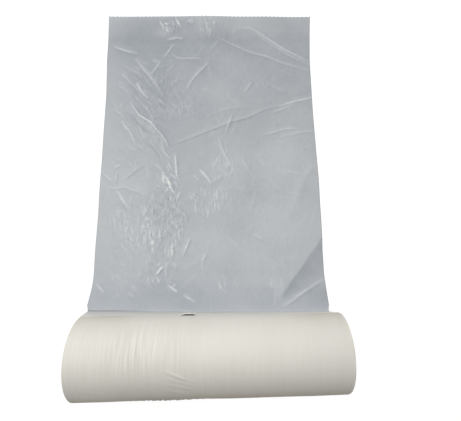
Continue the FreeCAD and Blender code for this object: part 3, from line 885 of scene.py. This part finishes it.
def rollRings():
    # each ring: x, its own radius or what it adds to the outer radius, and whether it is outer
    bend, bore, faceX = roll["rimRadius"], roll["bore"], halfWidth - roll["endDepth"]
    outermost = woundRadius - bend - roll["endMargin"]

    def endRings(side):
        # from the bore out to the rim and over it
        rings = [(side * faceX, r, False) for r in np.linspace(bore, outermost, roll["endRings"])]
        for t in np.linspace(math.pi / 2, 0, roll["rimRings"]):
            x = side * (halfWidth - bend * (1 - math.sin(t)))
            rings.append((x, -bend * (1 - math.cos(t)), True))
        return rings

    body = np.linspace(bend - halfWidth, halfWidth - bend, roll["length"] + 1)[1:-1]
    hole = np.linspace(faceX, -faceX, roll["boreRings"] + 2)[1:-1]
    return [*endRings(-1), *((x, 0.0, True) for x in body), *endRings(1)[::-1],
            *((x, bore, False) for x in hole)]


def woundRoll(material, edges):
    angle = np.linspace(0, 2 * math.pi, roll["around"] + 1)
    points, uv, busy, slot = [], [], [], []
    # where the shadow inside the slot is painted on the roll
    below = (2 * math.pi - angle) * woundRadius
    underSlot = 1 - smoothStep(8 * mm, 14 * mm, below)
    theta = angle + liftAngle
    for x, r, outer in rollRings():
        size, shift = askew(x) if outer else (1.0, 0.0)
        radius = (rollRadius(x, angle) + r) * size if outer else np.full_like(angle, r)
        middle = woundRadius * size - settled
        y, z = radius * np.cos(theta) + shift, middle + radius * np.sin(theta)
        points.append(np.stack([np.full_like(y, x), y, np.maximum(z, 0.0)], axis=-1))
        uv.append(np.stack([np.full_like(y, x), angle * woundRadius], axis=-1))
        busy.append(around(roll["streakPlace"], x, angle) * outer)
        aside = abs(x - film["slotMiddle"]) - film["slotWidth"] / 2
        slot.append(underSlot * (1 - smoothStep(-mm, 0, aside)) * outer)
    points, uv = np.stack(points), np.stack(uv)
    ids = np.arange(points.shape[0] * points.shape[1]).reshape(points.shape[:2])
    ids = np.vstack([ids, ids[:1]])
    faces = gridFaces(ids)
    closing = np.stack([ids[:-1, -1], ids[:-1, 0], ids[1:, 0], ids[1:, -1]], axis=-1)
    faces = np.concatenate([faces, closing])[:, ::-1]
    piece = meshPiece("woundRoll", points.reshape(-1, 3), faces.tolist(), material)
    mesh = piece.data
    mesh.materials.append(edges)
    corner = np.empty(len(mesh.loops), dtype=np.int32)
    mesh.loops.foreach_get("vertex_index", corner)
    mesh.uv_layers.new(name="wound").data.foreach_set(
        "uv", uv.reshape(-1, 2)[corner].astype(np.float32).ravel())
    pointValues(mesh, "busy", busy)
    pointValues(mesh, "slot", slot)
    flatX = points.reshape(-1, 3)[:, 0]
    own = np.array([p.vertices[0] for p in mesh.polygons])
    onEnd = np.abs(flatX[own]) >= halfWidth - roll["endDepth"] - 0.2 * mm
    mesh.polygons.foreach_set("material_index", onEnd.astype(np.int32))
    mesh.update()
    return piece


def newTree(name, inputs):
    # a geometry tree with these numbers and a film as its named inputs
    tree = bpy.data.node_groups.new(name, "GeometryNodeTree")
    tree.interface.new_socket("Geometry", in_out="INPUT", socket_type="NodeSocketGeometry")
    for title, value in inputs.items():
        socket = tree.interface.new_socket(title, in_out="INPUT", socket_type="NodeSocketFloat")
        socket.default_value = float(value)
    tree.interface.new_socket("Film", in_out="INPUT", socket_type="NodeSocketMaterial")
    tree.interface.new_socket("Geometry", in_out="OUTPUT", socket_type="NodeSocketGeometry")
    return tree, place(tree, "NodeGroupInput").outputs


def endTree(tree, given, made):
    # the mesh that comes out is real and has the film on it
    real = place(tree, "GeometryNodeRealizeInstances", {"Geometry": made.outputs[0]})
    film = place(tree, "GeometryNodeSetMaterial", {
        "Geometry": real.outputs[0], "Material": given["Film"]})
    place(tree, "NodeGroupOutput", {0: film.outputs[0]})
    return tree


def grown(name, base, tree, values):
    # runs the tree on a base mesh and keeps the result as a plain mesh
    maker = addObject(name + "Maker", base)
    modifier = maker.modifiers.new("made", "NODES")
    modifier.node_group = tree
    for item in tree.interface.items_tree:
        if item.item_type == "SOCKET" and item.in_out == "INPUT" and item.name in values:
            modifier[item.identifier] = values[item.name]
    view = bpy.context.evaluated_depsgraph_get()
    mesh = bpy.data.meshes.new_from_object(maker.evaluated_get(view))
    bpy.data.objects.remove(maker)
    mesh.name = name
    return addObject(name, mesh)


# The edges of the wound film on the roll's ends: the inputs of their tree.
turns = {
    "Inner radius": 13.2 * mm,
    "Outer radius": 42.6 * mm,
    "Turns": 38.0,
    "Film edge": 0.35 * mm,
    "Stands out": 1.1 * mm,
    "Uneven": 0.35 * mm,
}


def turnsTree():
    tree, given = newTree("filmTurns", turns)
    spiral = place(tree, "GeometryNodeCurveSpiral", {
        "Resolution": 84, "Rotations": given["Turns"],
        "Start Radius": given["Inner radius"], "End Radius": given["Outer radius"],
        "Height": 0.0})
    wobble = place(tree, "TexNoise", {
        "Vector": place(tree, "GeometryNodeInputPosition").outputs[0], "Scale": 190.0})
    rise = place(tree, "Math", {
        "operation": "MULTIPLY_ADD", 0: wobble.outputs[0], 1: given["Uneven"], 2: -0.3 * mm})
    shift = place(tree, "CombineXYZ", {"Z": rise.outputs[0]})
    moved = place(tree, "GeometryNodeSetPosition", {
        "Geometry": spiral.outputs[0], "Offset": shift.outputs[0]})
    profile = place(tree, "GeometryNodeCurvePrimitiveQuadrilateral", {
        "Width": given["Film edge"], "Height": given["Stands out"]})
    ribbon = place(tree, "GeometryNodeCurveToMesh", {
        "Curve": moved.outputs[0], "Profile Curve": profile.outputs[0], "Fill Caps": True})
    return endTree(tree, given, ribbon)


def filmTurns(side, tree, material):
    base = bpy.data.meshes.new("turnsBase")
    piece = grown("filmTurnsRight" if side > 0 else "filmTurnsLeft", base, tree,
                  {**turns, "Film": material})
    turn = Matrix(((0, 0, side, 0), (side, 0, 0, 0), (0, 1, 0, 0), (0, 0, 0, 1)))
    face = halfWidth - turns["Stands out"] / 2
    at = Matrix.Translation((side * face, 0, woundRadius - settled))
    piece.data.transform(at @ turn)
    return piece


# The ties of a tear line: the inputs of their tree.
ties = {
    "Pitch": 6 * mm,
    "Tie width": 1.4 * mm,
    "Tie length": 2.0 * mm,
    "Ragged": 0.0,
    "Lean": 0.0,
    "Slot middle": 10.0,  # off the line, which has no slot unless a place is given
    "Slot half width": 0.0,
}


def tiesTree():
    tree, given = newTree("tearTies", ties)
    line = place(tree, "GeometryNodeMeshToCurve", {"Mesh": given["Geometry"]})
    spaced = place(tree, "GeometryNodeResampleCurve", {
        "mode": "LENGTH", "Curve": line.outputs[0], "Length": given["Pitch"]})
    size = place(tree, "CombineXYZ", {
        "X": given["Tie width"], "Y": given["Tie length"], "Z": gauge})
    tie = place(tree, "GeometryNodeMeshCube", {
        "Size": size.outputs[0], "Vertices X": 3, "Vertices Y": 3, "Vertices Z": 2})
    turn = place(tree, "CombineXYZ", {"X": given["Lean"]})
    spot = place(tree, "GeometryNodeInputPosition")
    parts = place(tree, "SeparateXYZ", {"Vector": spot.outputs[0]})
    offset = Flow(tree, parts.outputs[0]) - given["Slot middle"]
    kept = offset.math("ABSOLUTE").math("GREATER_THAN", given["Slot half width"])
    drawn = place(tree, "FunctionNodeRandomValue", {
        "data_type": "FLOAT", "Min": 1.0, "Max": 0.0, "Seed": 5})
    amount = Flow(tree, drawn.outputs[1]) * given["Ragged"] + 1
    grow = place(tree, "CombineXYZ", {"X": 1.0, "Y": amount, "Z": 1.0})
    row = place(tree, "GeometryNodeInstanceOnPoints", {
        "Points": spaced.outputs[0], "Selection": kept, "Instance": tie.outputs[0],
        "Rotation": turn.outputs[0], "Scale": grow.outputs[0]})
    return endTree(tree, given, row)


def tearTies(name, line, tree, values):
    base = bpy.data.meshes.new(name + "Line")
    base.from_pydata(line, [(k, k + 1) for k in range(len(line) - 1)], [])
    return grown(name, base, tree, {**ties, **values})


looseMaterial, woundMaterial, edgeMaterial = looseFilm(), woundFilm(), endFilm()
bag, farLine = drawnBag(looseMaterial)
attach(bag, "root")
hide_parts("drawn_bag")
print("stage: drawn bag,", len(bag.data.polygons), "faces")

wound = woundRoll(woundMaterial, edgeMaterial)
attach(wound, "root")
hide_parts("bag_roll")
print("stage: wound roll,", len(wound.data.polygons), "faces")

spiralTree = turnsTree()
for side in (-1, 1):
    ribbon = filmTurns(side, spiralTree, edgeMaterial)
    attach(ribbon, "root")
print("stage: turns on the ends,", len(ribbon.data.polygons), "faces")

tieTree = tiesTree()
tearRadius = woundRadius + gauge / 2
tearY = tearRadius * math.cos(liftAngle)
tearZ = woundRadius - settled + tearRadius * math.sin(liftAngle)
nearLine = []
for x in np.linspace(*film["tieSpan"], film["tieSpots"]) * mm:
    size, shift = askew(x)
    nearLine.append((float(x), float(tearY * size + shift), float(tearZ * size)))
nearTies = tearTies("tearLineTies", nearLine, tieTree, {
    "Film": looseMaterial, "Lean": liftAngle - math.pi / 2,
    "Slot middle": film["slotMiddle"], "Slot half width": film["slotWidth"] / 2 + mm})
farTies = tearTies("mouthStubs", [(x, y, z - gauge / 2) for x, y, z in farLine], tieTree, {
    "Film": looseMaterial, "Ragged": 0.8, "Tie length": 1.1 * mm})
for piece in (nearTies, farTies):
    count = len(piece.data.vertices)
    pointValues(piece.data, "near", np.full(count, piece is nearTies))
    pointValues(piece.data, "tone", np.full(count, film["tieTone"]))
    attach(piece, "root")
print("stage: tear lines,", len(nearTies.data.polygons) + len(farTies.data.polygons), "faces")


stageLook = {
    "floorSize": 12.0,
    "floorDrop": 0.2 * mm,
    "floorShade": 0.42,
    "floorLevel": 0.86,
    "shadowShade": 0.22,
    "white": 1.06,
    "skyLevel": 0.22,
    "skyColour": (0.97, 0.985, 1.0, 1),
}


def floorMaterial():
    # the floor is mid grey to the light, and its clear part is white to the camera
    material, tree = newMaterial("paleFloor")
    shade, pale = stageLook["floorShade"], stageLook["shadowShade"]
    dull = place(tree, "BsdfDiffuse", {"Color": (shade, shade, shade, 1)})
    faint = place(tree, "BsdfDiffuse", {"Color": (pale, pale, pale, 1)})
    glow = place(tree, "Emission", {
        "Color": (1, 1, 1, 1), "Strength": stageLook["white"] - pale * stageLook["floorLevel"]})
    both = place(tree, "AddShader", {0: faint.outputs[0], 1: glow.outputs[0]})
    path = place(tree, "LightPath")
    seen = Flow(tree, path.outputs["Is Camera Ray"]).math("MAXIMUM", path.outputs["Is Glossy Ray"])
    mixed = place(tree, "MixShader", {0: seen, 1: dull.outputs[0], 2: both.outputs[0]})
    place(tree, "OutputMaterial", {0: mixed.outputs[0]})
    return material


half, low = stageLook["floorSize"] / 2, -stageLook["floorDrop"]
floor = meshPiece("floor", [(-half, -half, low), (half, -half, low), (half, half, low),
                            (-half, half, low)], [(0, 1, 2, 3)], floorMaterial())

world = bpy.data.worlds.new("studio")
world.use_nodes = True
bpy.context.scene.world = world
sky = world.node_tree
sky.nodes.clear()
soft = place(sky, "Background", {
    "Color": stageLook["skyColour"], "Strength": stageLook["skyLevel"]})
white = place(sky, "Background", {"Color": (1, 1, 1, 1), "Strength": 1.0})
seenSky = place(sky, "MixShader", {
    0: place(sky, "LightPath").outputs["Is Camera Ray"],
    1: soft.outputs[0], 2: white.outputs[0]})
place(sky, "OutputWorld", {0: seenSky.outputs[0]})

lamps = (
    # name, place, aim, size, watts, colour
    ("windowLight", (-2.4, 7.3, 6.5), (0, 0.1, 0), 4, 460, (1, 1, 1)),
    ("roomLight", (-2.7, 1.6, 9.6), (0, 0.1, 0), 4, 400, (1, 1, 1)),
    ("ceilingLight", (-0.34, 0.36, 1.5), (-0.02, 0.14, 0), 0.24, 1.5, (1, 0.93, 0.8)),
)
for name, spot, aim, size, watts, colour in lamps:
    lamp = bpy.data.lights.new(name, "AREA")
    lamp.size, lamp.energy, lamp.color = size, watts, colour
    holder = addObject(name, lamp)
    holder.location = spot
    holder.rotation_euler = (Vector(aim) - Vector(spot)).to_track_quat("-Z", "Y").to_euler()

cameraSpec = {
    "place": (0.0148, 0.0875, 0.4663),
    "down": math.radians(79.19),
    "yaw": math.radians(-6.0),
    "tilt": math.radians(5.36),
    "focal": 348.8,  # in pixels of the photograph, which is 461 wide
    "width": 461,
    "sensor": 36,
}
lens = bpy.data.cameras.new("camera")
lens.sensor_fit = "HORIZONTAL"
lens.sensor_width = cameraSpec["sensor"]
lens.lens = cameraSpec["focal"] / cameraSpec["width"] * cameraSpec["sensor"]
lens.clip_start = 0.01
eye = addObject("camera", lens)
aimed = (Matrix.Rotation(cameraSpec["yaw"], 4, "Z")
         @ Matrix.Rotation(math.pi / 2 - cameraSpec["down"], 4, "X")
         @ Matrix.Rotation(cameraSpec["tilt"], 4, "Z"))
eye.matrix_world = Matrix.Translation(cameraSpec["place"]) @ aimed
bpy.context.scene.camera = eye
bpy.context.scene.view_settings.view_transform = "Standard"
print("stage: floor, light and camera")
